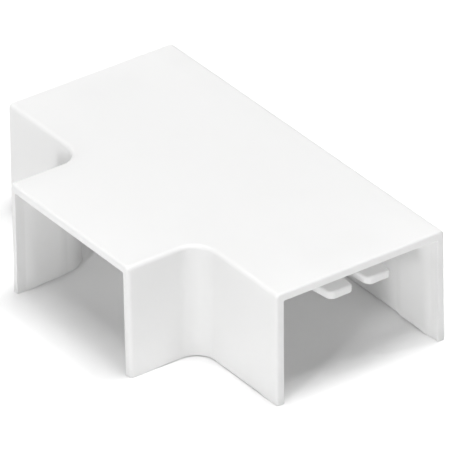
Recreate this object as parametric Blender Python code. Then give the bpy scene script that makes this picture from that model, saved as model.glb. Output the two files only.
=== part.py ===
"""Flat tee fitting for 40 x 25 mm rectangular cable trunking.

One moulded white plastic cover, open underneath: a straight run with a short branch at right angles. It stands on its
rim at z = 0. The run lies along X and the branch points to -Y. The origin is the middle of the outline at the foot.
"""

import math

import bmesh
import bpy

# Outside sizes, in metres, measured at the foot.
RUN_WIDTH = 0.0440
RUN_LENGTH = 0.0985
BRANCH_WIDTH = 0.0440
BRANCH_REACH = 0.0182
HEIGHT = 0.0272

# Walls. Both faces of a wall lean outwards towards the foot by the draft.
SIDE_WALL = 0.00185
TOP_WALL = 0.0019
DRAFT_DEG = 0.5

# Roundings.
TEE_CORNER_R = 0.0050
LONG_TOP_EDGE_R = 0.0010
MOUTH_TOP_EDGE_R = 0.0005
MOUTH_SIDE_EDGE_R = 0.0006
BRANCH_SIDE_EDGE_R = 0.0009
FOOT_EDGE_R = 0.0002
CEILING_FILLET_R = 0.0003

# The inner face of each wall, by its depth behind the mouth: a plain lip, a soft swell that grips the trunking, and
# further in a rounded step where the wall is relieved.
LIP_LENGTH = 0.0021
SWELL_LENGTH = 0.0031
SWELL_HEIGHT = 0.00035
STEP_DEPTH = 0.0146
STEP_LENGTH = 0.0024
STEP_HEIGHT = 0.00035

# Clip tongues: two at each end of the run, level with the top plate, with room for the trunking's lid above them.
LID_GAP = 0.0028
TONGUE_SETBACK = 0.00025
TONGUE_LENGTH = 0.0085
TONGUE_WIDTH = 0.0062
TONGUE_TAPER_DEG = 6.0
TONGUE_THICKNESS = 0.00195
TONGUE_FRONT_CORNER_R = 0.0017
TONGUE_BACK_CORNER_R = 0.0009
TONGUE_EDGE_R = 0.00045
TONGUE_SPACING = 0.00978
WEB_THICKNESS = 0.0018
WEB_INSET = 0.0003

# How far a cutter or a joined piece runs past the face it meets.
OVERRUN = 0.0020

# Facets.
CORNER_STEPS = 9
EDGE_STEPS = 4
TOP_STEPS = 6
SWELL_STEPS = 5
STEP_STEPS = 4

WHITE = (0.90, 0.90, 0.89, 1.0)
ROUGHNESS = 0.38

RUN_Y = BRANCH_REACH / 2
FRONT_Y = RUN_Y - RUN_WIDTH / 2
BACK_Y = RUN_Y + RUN_WIDTH / 2
BRANCH_MOUTH_Y = FRONT_Y - BRANCH_REACH
RUN_END_X = RUN_LENGTH / 2
BRANCH_X = BRANCH_WIDTH / 2
CEILING_Z = HEIGHT - TOP_WALL
INNER_WALL = SIDE_WALL + SWELL_HEIGHT
DEEP_WALL = INNER_WALL - STEP_HEIGHT
# In the short branch the step ends where the rounded inner corner of the tee begins.
BRANCH_STEP_DEPTH = BRANCH_REACH - TEE_CORNER_R


def clear_scene():
    for obj in list(bpy.data.objects):
        bpy.data.objects.remove(obj, do_unlink=True)


def arc(centre, radius, start_deg, end_deg, steps):
    """Points on an arc in plan, both ends included."""
    points = []
    for i in range(steps + 1):
        angle = math.radians(start_deg + (end_deg - start_deg) * i / steps)
        points.append((centre[0] + radius * math.cos(angle), centre[1] + radius * math.sin(angle)))
    return points


def edge_inset(distance, radius):
    """How far a rounded edge has drawn in, at a distance from the face that it rounds into."""
    if distance >= radius:
        return 0.0
    return radius - math.sqrt(radius**2 - (radius - distance) ** 2)


def rounded_levels(low, high, low_radius, high_radius, high_steps):
    """Heights that follow a rounding at the bottom and one at the top."""
    levels = []
    for i in range(EDGE_STEPS + 1):
        levels.append(low + low_radius * (1 - math.cos(math.pi / 2 * i / EDGE_STEPS)))
    for i in range(high_steps + 1):
        levels.append(high - high_radius * (1 - math.sin(math.pi / 2 * i / high_steps)))
    return levels


def draft_at(z):
    return math.tan(math.radians(DRAFT_DEG)) * max(z, 0.0)


def outer_outline(z):
    """The outside of the tee in plan at height z, anticlockwise."""
    foot = edge_inset(z, FOOT_EDGE_R)
    wall_round = foot + edge_inset(HEIGHT - z, LONG_TOP_EDGE_R)
    mouth_round = foot + edge_inset(HEIGHT - z, MOUTH_TOP_EDGE_R)
    wall = draft_at(z) + wall_round
    drawn = min(wall_round, mouth_round)
    corner = max(MOUTH_SIDE_EDGE_R - drawn, MOUTH_SIDE_EDGE_R / 10)
    branch_corner = max(BRANCH_SIDE_EDGE_R - drawn, BRANCH_SIDE_EDGE_R / 10)
    end_x = RUN_END_X - mouth_round - corner
    back_y = BACK_Y - wall - corner
    front_y = FRONT_Y + wall + corner
    side_x = BRANCH_X - wall - branch_corner
    mouth_y = BRANCH_MOUTH_Y + mouth_round + branch_corner
    tee_x = BRANCH_X + TEE_CORNER_R
    tee_y = FRONT_Y - TEE_CORNER_R
    tee_r = TEE_CORNER_R + wall
    return (
        arc((end_x, front_y), corner, -90, 0, EDGE_STEPS)
        + arc((end_x, back_y), corner, 0, 90, EDGE_STEPS)
        + arc((-end_x, back_y), corner, 90, 180, EDGE_STEPS)
        + arc((-end_x, front_y), corner, 180, 270, EDGE_STEPS)
        + arc((-tee_x, tee_y), tee_r, 90, 0, CORNER_STEPS)
        + arc((-side_x, mouth_y), branch_corner, 180, 270, EDGE_STEPS)
        + arc((side_x, mouth_y), branch_corner, 270, 360, EDGE_STEPS)
        + arc((tee_x, tee_y), tee_r, 180, 90, CORNER_STEPS)
    )


def wall_profile(step_depth):
    """(depth behind the mouth, wall thickness) along a wall's inner face, from outside the mouth inwards."""
    points = [(-OVERRUN, SIDE_WALL), (0.0, SIDE_WALL)]
    for i in range(SWELL_STEPS + 1):
        u = i / SWELL_STEPS
        points.append((LIP_LENGTH + SWELL_LENGTH * u, SIDE_WALL + SWELL_HEIGHT * (1 - (1 - u) ** 2)))
    for i in range(STEP_STEPS + 1):
        u = i / STEP_STEPS
        depth = step_depth - STEP_LENGTH * (1 - u)
        points.append((depth, INNER_WALL - STEP_HEIGHT * (1 - math.cos(math.pi / 2 * u))))
    return points


def inner_outline(z):
    """The inside of the tee in plan at height z, anticlockwise, running out through the three mouths."""
    offset = draft_at(z) - edge_inset(max(z, 0.0), FOOT_EDGE_R) + edge_inset(CEILING_Z - z, CEILING_FILLET_R)
    run = [(depth, wall + offset) for depth, wall in wall_profile(STEP_DEPTH)]
    # The rounded corner's own first point stands for the last one of the branch's wall.
    branch = [(depth, wall + offset) for depth, wall in wall_profile(BRANCH_STEP_DEPTH)[:-1]]
    tee_x = BRANCH_X + TEE_CORNER_R
    tee_y = FRONT_Y - TEE_CORNER_R
    tee_r = TEE_CORNER_R + DEEP_WALL + offset
    points = []
    points += [(RUN_END_X - depth, BACK_Y - wall) for depth, wall in run]
    points += [(depth - RUN_END_X, BACK_Y - wall) for depth, wall in reversed(run)]
    points += [(depth - RUN_END_X, FRONT_Y + wall) for depth, wall in run]
    points += arc((-tee_x, tee_y), tee_r, 90, 0, CORNER_STEPS)
    points += [(wall - BRANCH_X, BRANCH_MOUTH_Y + depth) for depth, wall in reversed(branch)]
    points += [(BRANCH_X - wall, BRANCH_MOUTH_Y + depth) for depth, wall in branch]
    points += arc((tee_x, tee_y), tee_r, 180, 90, CORNER_STEPS)
    points += [(RUN_END_X - depth, FRONT_Y + wall) for depth, wall in reversed(run)]
    return points


def tongue_outline(side, across, inset):
    """A clip tongue in plan: two rounded corners towards the mouth, and wider towards its root."""
    half = TONGUE_WIDTH / 2 - inset
    near = TONGUE_FRONT_CORNER_R - inset
    far = TONGUE_BACK_CORNER_R - inset
    front = RUN_END_X - TONGUE_SETBACK - inset
    root = RUN_END_X - TONGUE_SETBACK - TONGUE_LENGTH + inset
    spread = math.tan(math.radians(TONGUE_TAPER_DEG)) * (front - root)
    points = [(root, -half - spread)]
    points += arc((front - near, near - half), near, -90, 0, EDGE_STEPS)
    points += arc((front - far, half - far), far, 0, 90, EDGE_STEPS)
    points += [(root, half + spread)]
    middle = RUN_Y + across * TONGUE_SPACING / 2
    placed = [(side * x, middle + y) for x, y in points]
    return placed if side > 0 else placed[::-1]


def web_outline(side, across):
    """The upright web that carries a tongue from the top plate, in plan."""
    root = RUN_END_X - TONGUE_SETBACK - TONGUE_LENGTH + WEB_INSET
    half = TONGUE_WIDTH / 2
    middle = RUN_Y + across * TONGUE_SPACING / 2
    corners = [(root, -half), (root + WEB_THICKNESS, -half), (root + WEB_THICKNESS, half), (root, half)]
    placed = [(side * x, middle + y) for x, y in corners]
    return placed if side > 0 else placed[::-1]


def loft(bm, sections):
    """Skins a closed solid over (height, outline) sections that have equal numbers of points."""
    rings = []
    for z, outline in sections:
        rings.append([bm.verts.new((x, y, z)) for x, y in outline])
    for lower, upper in zip(rings, rings[1:]):
        for i in range(len(lower)):
            j = (i + 1) % len(lower)
            bm.faces.new((lower[i], lower[j], upper[j], upper[i]))
    bm.faces.new(rings[0][::-1])
    bm.faces.new(rings[-1])


def object_from(name, bm):
    bmesh.ops.recalc_face_normals(bm, faces=bm.faces)
    mesh = bpy.data.meshes.new(name)
    bm.to_mesh(mesh)
    bm.free()
    obj = bpy.data.objects.new(name, mesh)
    bpy.context.scene.collection.objects.link(obj)
    return obj


def make_outside():
    bm = bmesh.new()
    heights = rounded_levels(0.0, HEIGHT, FOOT_EDGE_R, LONG_TOP_EDGE_R, TOP_STEPS)
    loft(bm, [(z, outer_outline(z)) for z in heights])
    return object_from("tee_cover", bm)


def make_core():
    """The space inside, open downwards and through the three mouths."""
    bm = bmesh.new()
    heights = [-OVERRUN] + rounded_levels(0.0, CEILING_Z, FOOT_EDGE_R, CEILING_FILLET_R, EDGE_STEPS)
    loft(bm, [(z, inner_outline(z)) for z in heights])
    return object_from("core", bm)


def make_tongue(side, across):
    top = CEILING_Z - LID_GAP
    bottom = top - TONGUE_THICKNESS
    bm = bmesh.new()
    heights = rounded_levels(bottom, top, TONGUE_EDGE_R, TONGUE_EDGE_R, EDGE_STEPS)
    sections = []
    for z in heights:
        inset = edge_inset(z - bottom, TONGUE_EDGE_R) + edge_inset(top - z, TONGUE_EDGE_R)
        sections.append((z, tongue_outline(side, across, inset)))
    loft(bm, sections)
    return object_from("tongue", bm)


def make_web(side, across):
    top = CEILING_Z - LID_GAP
    bm = bmesh.new()
    outline = web_outline(side, across)
    loft(bm, [(top - TONGUE_THICKNESS / 2, outline), (CEILING_Z + TOP_WALL / 2, outline)])
    return object_from("web", bm)


def combine(target, other, operation):
    other.hide_render = True
    other.display_type = "WIRE"
    modifier = target.modifiers.new(other.name, "BOOLEAN")
    modifier.operation = operation
    modifier.solver = "EXACT"
    modifier.object = other


def white_plastic():
    material = bpy.data.materials.new("white_plastic")
    material.use_nodes = True
    shader = material.node_tree.nodes["Principled BSDF"]
    shader.inputs["Base Color"].default_value = WHITE
    shader.inputs["Roughness"].default_value = ROUGHNESS
    shader.inputs["Metallic"].default_value = 0.0
    return material


def main():
    clear_scene()
    cover = make_outside()
    combine(cover, make_core(), "DIFFERENCE")
    for side in (1, -1):
        for across in (1, -1):
            combine(cover, make_tongue(side, across), "UNION")
            combine(cover, make_web(side, across), "UNION")
    cover.data.materials.append(white_plastic())
    cover.data.shade_smooth()
    cover.data.set_sharp_from_angle(angle=math.radians(35))


main()
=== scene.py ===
import math

import bmesh
import bpy
from mathutils import Matrix, Vector

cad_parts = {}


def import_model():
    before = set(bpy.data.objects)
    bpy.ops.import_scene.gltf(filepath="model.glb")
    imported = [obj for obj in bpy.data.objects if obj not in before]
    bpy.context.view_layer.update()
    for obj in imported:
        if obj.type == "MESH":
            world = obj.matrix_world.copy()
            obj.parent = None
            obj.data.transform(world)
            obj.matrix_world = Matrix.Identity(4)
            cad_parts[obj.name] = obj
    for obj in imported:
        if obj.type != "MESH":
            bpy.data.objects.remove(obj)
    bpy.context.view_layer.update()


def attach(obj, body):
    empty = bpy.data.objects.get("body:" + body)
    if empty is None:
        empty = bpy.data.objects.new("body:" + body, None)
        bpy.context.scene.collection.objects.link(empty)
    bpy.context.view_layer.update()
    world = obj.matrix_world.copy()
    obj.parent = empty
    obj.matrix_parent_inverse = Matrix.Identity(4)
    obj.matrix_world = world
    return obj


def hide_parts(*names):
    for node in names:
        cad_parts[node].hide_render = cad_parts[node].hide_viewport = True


# Outside sizes of the cover, in metres, as in the CAD source.
RUN_WIDTH = 0.0440
RUN_LENGTH = 0.0985
BRANCH_WIDTH = 0.0440
BRANCH_REACH = 0.0182
HEIGHT = 0.0272
SIDE_WALL = 0.00185
TOP_WALL = 0.0019
DRAFT_DEG = 0.5

# Roundings of the edges and of the tee's inner corners.
TEE_CORNER_R = 0.0050
LONG_TOP_EDGE_R = 0.0010
MOUTH_TOP_EDGE_R = 0.0005
MOUTH_SIDE_EDGE_R = 0.0006
BRANCH_SIDE_EDGE_R = 0.0009
FOOT_EDGE_R = 0.0002
CEILING_FILLET_R = 0.0003
LEAST_CORNER_SHARE = 0.1

# Modelled here only: the softened edge between a mouth's end face and the inner faces. It is chosen
# by its angle and by its distance from the end face, as a multiple of the foot rounding.
MOUTH_INNER_EDGE = 0.00007
INNER_EDGE_STEPS = 3
INNER_EDGE_PROFILE = 0.5
INNER_EDGE_MIN_DEG = 60
END_FACE_MARGIN = 1.02
WELD_DISTANCE = 1e-7

# Modelled here only: the gap under each wall's rim, and the ramp up to it behind each mouth.
RIM_GAPS = {"back": 0.00038, "front": 0.00030, "branch_left": 0.00065, "branch_right": 0.00026}
RIM_GAP_START = 0.0024
RIM_GAP_FULL = 0.0070

# The relief inside the walls: a plain lip, then a soft swell, then a rounded step back.
LIP_LENGTH = 0.0021
SWELL_LENGTH = 0.0031
SWELL_HEIGHT = 0.00035
STEP_DEPTH = 0.0146
STEP_LENGTH = 0.0024
STEP_HEIGHT = 0.00035

# The clip tongues, which leave room for a lid under the top plate, and their webs.
LID_GAP = 0.0028
TONGUE_SETBACK = 0.00025
TONGUE_LENGTH = 0.0085
TONGUE_WIDTH = 0.0062
TONGUE_TAPER_DEG = 6.0
TONGUE_THICKNESS = 0.00195
TONGUE_FRONT_CORNER_R = 0.0017
TONGUE_BACK_CORNER_R = 0.0009
TONGUE_EDGE_R = 0.00045
TONGUE_SPACING = 0.00978
WEB_THICKNESS = 0.0018
WEB_INSET = 0.0003

# How far a cutting solid reaches past the face that it cuts.
OVERRUN = 0.0020

# Finer than the CAD source, so that the roundings shade smoothly.
CORNER_STEPS = 20
EDGE_STEPS = 7
TOP_STEPS = 10
SWELL_STEPS = 10
STEP_STEPS = 8

# Creases sharper than this stay sharp, and flat faces keep flat shading.
SHARP_ANGLE_DEG = 38
FLAT_FACE_WEIGHT = 100

# Places that follow from the sizes above. In plan, the origin is the middle of the outside box.
RUN_Y = BRANCH_REACH / 2
FRONT_Y = RUN_Y - RUN_WIDTH / 2
BACK_Y = RUN_Y + RUN_WIDTH / 2
BRANCH_MOUTH_Y = FRONT_Y - BRANCH_REACH
RUN_END_X = RUN_LENGTH / 2
BRANCH_X = BRANCH_WIDTH / 2
TEE_X = BRANCH_X + TEE_CORNER_R
TEE_Y = FRONT_Y - TEE_CORNER_R
CEILING_Z = HEIGHT - TOP_WALL
INNER_WALL = SIDE_WALL + SWELL_HEIGHT
DEEP_WALL = INNER_WALL - STEP_HEIGHT
BRANCH_STEP_DEPTH = BRANCH_REACH - TEE_CORNER_R
TONGUE_FRONT_X = RUN_END_X - TONGUE_SETBACK
TONGUE_ROOT_X = TONGUE_FRONT_X - TONGUE_LENGTH
TONGUE_TOP_Z = CEILING_Z - LID_GAP
TONGUE_BOTTOM_Z = TONGUE_TOP_Z - TONGUE_THICKNESS

# The plastic. Noise scales are per metre.
PLASTIC_DARK = (0.936, 0.936, 0.932, 1.0)
PLASTIC_LIGHT = (0.944, 0.944, 0.941, 1.0)
PLASTIC_ROUGHNESS = (0.34, 0.42)
NOISE_SPAN = (0.3, 0.7)
MOTTLE_SCALE = 90.0
SHEEN_SCALE = 700.0
GRAIN_SCALE = 5000.0
GRAIN_STRENGTH = 0.15
GRAIN_HEIGHT = 0.00002
LIGHT_THROUGH = 0.28
THROUGH_COLOUR = (0.9, 0.9, 0.9, 1.0)

# The floor and the soft boxes, which all stand at one distance from the cover.
FLOOR_COLOUR = (0.97, 0.97, 0.97, 1.0)
FLOOR_HALF_SIZE = 4.0
FLOOR_CELLS = 8
LIGHT_DISTANCE = 1.2

# The photograph's camera, from a fit to the straight edges of the cover.
FOCAL_PX = 8233.28
IMAGE_PX = 455
SENSOR_MM = 36.0
AZIMUTH_DEG = 54.752
ELEVATION_DEG = 31.3813
ROLL_DEG = -0.9239
CLIP_NEAR = 0.1
CLIP_FAR = 20.0

# The camera's distance and the point that it aims at, in run widths.
DISTANCE = 40.0
AIM_HEIGHT = 0.3
AIM_RIGHT = 0.0159
AIM_UP = -0.02631


def arc(centre, radius, start_deg, end_deg, steps):
    points = []
    for i in range(steps + 1):
        angle = math.radians(start_deg + (end_deg - start_deg) * i / steps)
        points.append((centre[0] + radius * math.cos(angle), centre[1] + radius * math.sin(angle)))
    return points


def edge_inset(distance, radius):
    """How far a rounded edge stands in from its wall, at a distance from the face that it meets."""
    if distance >= radius:
        return 0.0
    return radius - math.sqrt(radius**2 - (radius - distance) ** 2)


def rounded_levels(low, high, low_radius, high_radius, high_steps):
    """Heights from low to high, set closely where the two edges are rounded."""
    levels = []
    for i in range(EDGE_STEPS + 1):
        levels.append(low + low_radius * (1 - math.cos(math.pi / 2 * i / EDGE_STEPS)))
    for i in range(high_steps + 1):
        levels.append(high - high_radius * (1 - math.sin(math.pi / 2 * i / high_steps)))
    return levels


def draft_at(z):
    return math.tan(math.radians(DRAFT_DEG)) * max(z, 0.0)


def outer_outline(z):
    """The outside of the tee at one height. The walls have draft, the mouths' end faces none."""
    foot = edge_inset(z, FOOT_EDGE_R)
    wall_round = foot + edge_inset(HEIGHT - z, LONG_TOP_EDGE_R)
    mouth_round = foot + edge_inset(HEIGHT - z, MOUTH_TOP_EDGE_R)
    wall = draft_at(z) + wall_round
    drawn = min(wall_round, mouth_round)
    corner = max(MOUTH_SIDE_EDGE_R - drawn, MOUTH_SIDE_EDGE_R * LEAST_CORNER_SHARE)
    branch_corner = max(BRANCH_SIDE_EDGE_R - drawn, BRANCH_SIDE_EDGE_R * LEAST_CORNER_SHARE)
    end_x = RUN_END_X - mouth_round - corner
    back_y = BACK_Y - wall - corner
    front_y = FRONT_Y + wall + corner
    side_x = BRANCH_X - wall - branch_corner
    mouth_y = BRANCH_MOUTH_Y + mouth_round + branch_corner
    tee_r = TEE_CORNER_R + wall
    return (
        arc((end_x, front_y), corner, -90, 0, EDGE_STEPS)
        + arc((end_x, back_y), corner, 0, 90, EDGE_STEPS)
        + arc((-end_x, back_y), corner, 90, 180, EDGE_STEPS)
        + arc((-end_x, front_y), corner, 180, 270, EDGE_STEPS)
        + arc((-TEE_X, TEE_Y), tee_r, 90, 0, CORNER_STEPS)
        + arc((-side_x, mouth_y), branch_corner, 180, 270, EDGE_STEPS)
        + arc((side_x, mouth_y), branch_corner, 270, 360, EDGE_STEPS)
        + arc((TEE_X, TEE_Y), tee_r, 180, 90, CORNER_STEPS)
    )


def wall_profile(step_depth):
    """Pairs of depth behind a mouth and wall thickness, from outside the mouth to the step."""
    points = [(-OVERRUN, SIDE_WALL), (0.0, SIDE_WALL)]
    for i in range(SWELL_STEPS + 1):
        u = i / SWELL_STEPS
        rise = SWELL_HEIGHT * (1 - (1 - u) ** 2)
        points.append((LIP_LENGTH + SWELL_LENGTH * u, SIDE_WALL + rise))
    for i in range(STEP_STEPS + 1):
        u = i / STEP_STEPS
        fall = STEP_HEIGHT * (1 - math.cos(math.pi / 2 * u))
        points.append((step_depth - STEP_LENGTH * (1 - u), INNER_WALL - fall))
    return points


def inner_outline(z):
    """The inside of the tee at one height, run on past the three mouths."""
    foot = edge_inset(max(z, 0.0), FOOT_EDGE_R)
    offset = draft_at(z) - foot + edge_inset(CEILING_Z - z, CEILING_FILLET_R)
    run = [(depth, wall + offset) for depth, wall in wall_profile(STEP_DEPTH)]
    branch = [(depth, wall + offset) for depth, wall in wall_profile(BRANCH_STEP_DEPTH)[:-1]]
    tee_r = TEE_CORNER_R + DEEP_WALL + offset
    points = []
    points += [(RUN_END_X - depth, BACK_Y - wall) for depth, wall in run]
    points += [(depth - RUN_END_X, BACK_Y - wall) for depth, wall in reversed(run)]
    points += [(depth - RUN_END_X, FRONT_Y + wall) for depth, wall in run]
    points += arc((-TEE_X, TEE_Y), tee_r, 90, 0, CORNER_STEPS)
    points += [(wall - BRANCH_X, BRANCH_MOUTH_Y + depth) for depth, wall in reversed(branch)]
    points += [(BRANCH_X - wall, BRANCH_MOUTH_Y + depth) for depth, wall in branch]
    points += arc((TEE_X, TEE_Y), tee_r, 180, 90, CORNER_STEPS)
    points += [(RUN_END_X - depth, FRONT_Y + wall) for depth, wall in reversed(run)]
    return points


def at_mouth(points, side, across):
    """Moves an outline from the x axis to a tongue's place, mirrored at the left mouth."""
    middle = RUN_Y + across * TONGUE_SPACING / 2
    placed = [(side * x, middle + y) for x, y in points]
    return placed if side > 0 else placed[::-1]


def tongue_outline(inset):
    half = TONGUE_WIDTH / 2 - inset
    near = TONGUE_FRONT_CORNER_R - inset
    far = TONGUE_BACK_CORNER_R - inset
    front = TONGUE_FRONT_X - inset
    root = TONGUE_ROOT_X + inset
    spread = math.tan(math.radians(TONGUE_TAPER_DEG)) * (front - root)
    points = [(root, -half - spread)]
    points += arc((front - near, near - half), near, -90, 0, EDGE_STEPS)
    points += arc((front - far, half - far), far, 0, 90, EDGE_STEPS)
    points += [(root, half + spread)]
    return points


def web_outline():
    near = TONGUE_ROOT_X + WEB_INSET
    far = near + WEB_THICKNESS
    half = TONGUE_WIDTH / 2
    return [(near, -half), (far, -half), (far, half), (near, half)]


def add_object(name, data):
    obj = bpy.data.objects.new(name, data)
    bpy.context.scene.collection.objects.link(obj)
    return obj


def add_mesh(name, bm):
    mesh = bpy.data.meshes.new(name)
    bm.to_mesh(mesh)
    bm.free()
    return add_object(name, mesh)


def loft(name, sections):
    """A closed solid through outlines that all have the same number of points."""
    bm = bmesh.new()
    rings = []
    for z, outline in sections:
        rings.append([bm.verts.new((x, y, z)) for x, y in outline])
    for lower, upper in zip(rings, rings[1:]):
        for i in range(len(lower)):
            j = (i + 1) % len(lower)
            bm.faces.new((lower[i], lower[j], upper[j], upper[i]))
    bm.faces.new(rings[0][::-1])
    bm.faces.new(rings[-1])
    bmesh.ops.recalc_face_normals(bm, faces=bm.faces)
    return add_mesh(name, bm)


def make_tongue(side, across):
    low, high = TONGUE_BOTTOM_Z, TONGUE_TOP_Z
    sections = []
    for z in rounded_levels(low, high, TONGUE_EDGE_R, TONGUE_EDGE_R, EDGE_STEPS):
        inset = edge_inset(z - low, TONGUE_EDGE_R) + edge_inset(high - z, TONGUE_EDGE_R)
        sections.append((z, at_mouth(tongue_outline(inset), side, across)))
    return loft("tongue", sections)


def make_web(side, across):
    outline = at_mouth(web_outline(), side, across)
    low = TONGUE_TOP_Z - TONGUE_THICKNESS / 2
    high = CEILING_Z + TOP_WALL / 2
    return loft("web", [(low, outline), (high, outline)])


def make_rim_gap(wall, height):
    """A low block that trims one wall's rim behind the mouths' lips, with a ramp at each lip."""
    sections = []
    for z in (-OVERRUN, height):
        depth = RIM_GAP_START + (RIM_GAP_FULL - RIM_GAP_START) * z / height
        run_x = RUN_END_X - depth
        mouth_y = BRANCH_MOUTH_Y + depth
        corner_y = FRONT_Y + OVERRUN * 2
        spans = {
            "back": (-run_x, run_x, RUN_Y, BACK_Y + OVERRUN),
            "front": (-run_x, run_x, FRONT_Y - OVERRUN, RUN_Y),
            "branch_left": (-BRANCH_X - OVERRUN, 0.0, mouth_y, corner_y),
            "branch_right": (0.0, BRANCH_X + OVERRUN, mouth_y, corner_y),
        }
        left, right, low, high = spans[wall]
        sections.append((z, [(left, low), (right, low), (right, high), (left, high)]))
    return loft("rim_gap", sections)


def combine(target, other, operation):
    modifier = target.modifiers.new("join", "BOOLEAN")
    modifier.operation = operation
    modifier.solver = "EXACT"
    modifier.object = other


def bake_modifiers(obj):
    graph = bpy.context.evaluated_depsgraph_get()
    mesh = bpy.data.meshes.new_from_object(obj.evaluated_get(graph))
    obj.modifiers.clear()
    obj.data = mesh


def soften_inner_mouth_edges(mesh):
    """Takes the sharpness off the edge between each mouth's end face and the inner faces."""
    bm = bmesh.new()
    bm.from_mesh(mesh)
    bmesh.ops.remove_doubles(bm, verts=bm.verts, dist=WELD_DISTANCE)
    run_plane = RUN_END_X - FOOT_EDGE_R * END_FACE_MARGIN
    branch_plane = BRANCH_MOUTH_Y + FOOT_EDGE_R * END_FACE_MARGIN
    chosen = []
    for edge in bm.edges:
        if not edge.is_manifold or edge.calc_face_angle() < math.radians(INNER_EDGE_MIN_DEG):
            continue
        ends = [v.co for v in edge.verts]
        if all(abs(p.x) > run_plane for p in ends) or all(p.y < branch_plane for p in ends):
            chosen.append(edge)
    bmesh.ops.bevel(
        bm,
        geom=chosen,
        offset=MOUTH_INNER_EDGE,
        offset_type="OFFSET",
        segments=INNER_EDGE_STEPS,
        profile=INNER_EDGE_PROFILE,
        affect="EDGES",
    )
    bm.to_mesh(mesh)
    bm.free()


def make_cover():
    levels = rounded_levels(0.0, HEIGHT, FOOT_EDGE_R, LONG_TOP_EDGE_R, TOP_STEPS)
    cover = loft("tee_shell", [(z, outer_outline(z)) for z in levels])
    levels = [-OVERRUN] + rounded_levels(0.0, CEILING_Z, FOOT_EDGE_R, CEILING_FILLET_R, EDGE_STEPS)
    core = loft("core", [(z, inner_outline(z)) for z in levels])
    helpers = [core]
    combine(cover, core, "DIFFERENCE")
    for wall, height in RIM_GAPS.items():
        gap = make_rim_gap(wall, height)
        combine(cover, gap, "DIFFERENCE")
        helpers.append(gap)
    for side in (1, -1):
        for across in (1, -1):
            for helper in (make_tongue(side, across), make_web(side, across)):
                combine(cover, helper, "UNION")
                helpers.append(helper)
    bake_modifiers(cover)
    for helper in helpers:
        bpy.data.objects.remove(helper, do_unlink=True)
    soften_inner_mouth_edges(cover.data)
    cover.data.shade_smooth()
    cover.data.set_sharp_from_angle(angle=math.radians(SHARP_ANGLE_DEG))
    weighted = cover.modifiers.new("flat faces stay flat", "WEIGHTED_NORMAL")
    weighted.keep_sharp = True
    weighted.weight = FLAT_FACE_WEIGHT
    return cover


def node(tree, kind, **inputs):
    made = tree.nodes.new(kind)
    for name, value in inputs.items():
        made.inputs[name.replace("_", " ")].default_value = value
    return made


def noise(tree, place, **inputs):
    made = node(tree, "ShaderNodeTexNoise", **inputs)
    tree.links.new(place, made.inputs["Vector"])
    return made.outputs["Fac"]


def white_plastic():
    """Satin white with a faint mottle and a fine grain, which lets a little light through."""
    material = bpy.data.materials.new("white_plastic")
    material.use_nodes = True
    tree = material.node_tree
    links = tree.links
    shader = tree.nodes["Principled BSDF"]
    place = tree.nodes.new("ShaderNodeTexCoord").outputs["Object"]
    span_low, span_high = NOISE_SPAN

    mottle = noise(tree, place, Scale=MOTTLE_SCALE, Detail=3.0, Roughness=0.55)
    tint = tree.nodes.new("ShaderNodeValToRGB")
    dark, light = tint.color_ramp.elements
    dark.position, dark.color = span_low, PLASTIC_DARK
    light.position, light.color = span_high, PLASTIC_LIGHT
    links.new(mottle, tint.inputs["Fac"])
    links.new(tint.outputs["Color"], shader.inputs["Base Color"])

    sheen = noise(tree, place, Scale=SHEEN_SCALE, Detail=4.0, Roughness=0.6)
    low, high = PLASTIC_ROUGHNESS
    rough = node(
        tree, "ShaderNodeMapRange", From_Min=span_low, From_Max=span_high, To_Min=low, To_Max=high
    )
    links.new(sheen, rough.inputs["Value"])
    links.new(rough.outputs["Result"], shader.inputs["Roughness"])

    grain = noise(tree, place, Scale=GRAIN_SCALE, Detail=2.0, Roughness=0.5)
    bump = node(tree, "ShaderNodeBump", Strength=GRAIN_STRENGTH, Distance=GRAIN_HEIGHT)
    links.new(grain, bump.inputs["Height"])
    links.new(bump.outputs["Normal"], shader.inputs["Normal"])

    through = node(tree, "ShaderNodeBsdfTranslucent", Color=THROUGH_COLOUR)
    mix = node(tree, "ShaderNodeMixShader", Fac=LIGHT_THROUGH)
    links.new(shader.outputs["BSDF"], mix.inputs[1])
    links.new(through.outputs["BSDF"], mix.inputs[2])
    links.new(mix.outputs["Shader"], tree.nodes["Material Output"].inputs["Surface"])
    return material


def floor_material():
    material = bpy.data.materials.new("floor_white")
    material.use_nodes = True
    shader = material.node_tree.nodes["Principled BSDF"]
    shader.inputs["Base Color"].default_value = FLOOR_COLOUR
    shader.inputs["Roughness"].default_value = 1.0
    shader.inputs["Specular IOR Level"].default_value = 0.0
    return material


def make_floor():
    bm = bmesh.new()
    bmesh.ops.create_grid(bm, x_segments=FLOOR_CELLS, y_segments=FLOOR_CELLS, size=FLOOR_HALF_SIZE)
    floor = add_mesh("floor", bm)
    floor.data.materials.append(floor_material())


def direction(azimuth_deg, elevation_deg):
    """Points from the part to a camera or lamp. Azimuth 0 is the part's front, 90 its right."""
    azimuth, elevation = math.radians(azimuth_deg), math.radians(elevation_deg)
    flat = math.cos(elevation)
    return Vector((math.sin(azimuth) * flat, -math.cos(azimuth) * flat, math.sin(elevation)))


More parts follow.
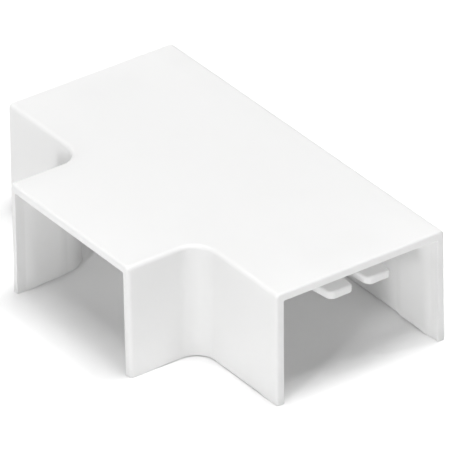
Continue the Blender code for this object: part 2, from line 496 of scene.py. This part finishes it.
def make_camera():
    azimuth, roll = math.radians(AZIMUTH_DEG), math.radians(ROLL_DEG)
    back = direction(AZIMUTH_DEG, ELEVATION_DEG)
    level = Vector((math.cos(azimuth), math.sin(azimuth), 0.0))
    upright = back.cross(level)
    right = math.cos(roll) * level + math.sin(roll) * upright
    up = math.cos(roll) * upright - math.sin(roll) * level
    shift = (AIM_RIGHT * right + AIM_UP * up) * RUN_WIDTH
    aim = Vector((0.0, RUN_Y, AIM_HEIGHT * RUN_WIDTH)) + shift
    eye = aim + back * DISTANCE * RUN_WIDTH
    data = bpy.data.cameras.new("camera")
    data.sensor_width = SENSOR_MM
    data.lens = FOCAL_PX / IMAGE_PX * SENSOR_MM
    data.clip_start = CLIP_NEAR
    data.clip_end = CLIP_FAR
    camera = add_object("camera", data)
    camera.matrix_world = Matrix(
        (
            (right.x, up.x, back.x, eye.x),
            (right.y, up.y, back.y, eye.y),
            (right.z, up.z, back.z, eye.z),
            (0.0, 0.0, 0.0, 1.0),
        )
    )
    bpy.context.scene.camera = camera


def softbox(name, azimuth, elevation, width, height, watts):
    """A rectangular lamp that faces the middle of the cover."""
    outward = direction(azimuth, elevation)
    data = bpy.data.lights.new(name, "AREA")
    data.shape = "RECTANGLE"
    data.size = width
    data.size_y = height
    data.energy = watts
    light = add_object(name, data)
    light.location = Vector((0.0, 0.0, HEIGHT / 2)) + outward * LIGHT_DISTANCE
    light.rotation_euler = outward.to_track_quat("Z", "Y").to_euler()


def make_light():
    scene = bpy.context.scene
    world = bpy.data.worlds.new("studio")
    scene.world = world
    world.use_nodes = True
    world.node_tree.nodes["Background"].inputs["Strength"].default_value = 0.0
    softbox("key", azimuth=26, elevation=12, width=0.16, height=0.26, watts=5.55)
    softbox("low_left", azimuth=-26, elevation=8, width=0.637, height=0.337, watts=0.40)
    softbox("low_far_left", azimuth=259, elevation=8, width=0.984, height=0.337, watts=1.05)
    softbox("right_high", azimuth=98, elevation=53, width=0.469, height=0.643, watts=0.85)
    softbox("above", azimuth=0, elevation=88, width=0.85, height=0.85, watts=11.9)
    softbox("above_back", azimuth=169, elevation=74, width=0.274, height=0.252, watts=4.20)
    softbox("above_right", azimuth=90, elevation=74, width=0.274, height=0.252, watts=1.70)
    scene.view_settings.view_transform = "Standard"
    scene.view_settings.look = "None"


def main():
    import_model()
    cover = make_cover()
    cover.data.materials.append(white_plastic())
    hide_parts("tee_cover")
    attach(cover, "root")
    make_floor()
    make_light()
    make_camera()


main()
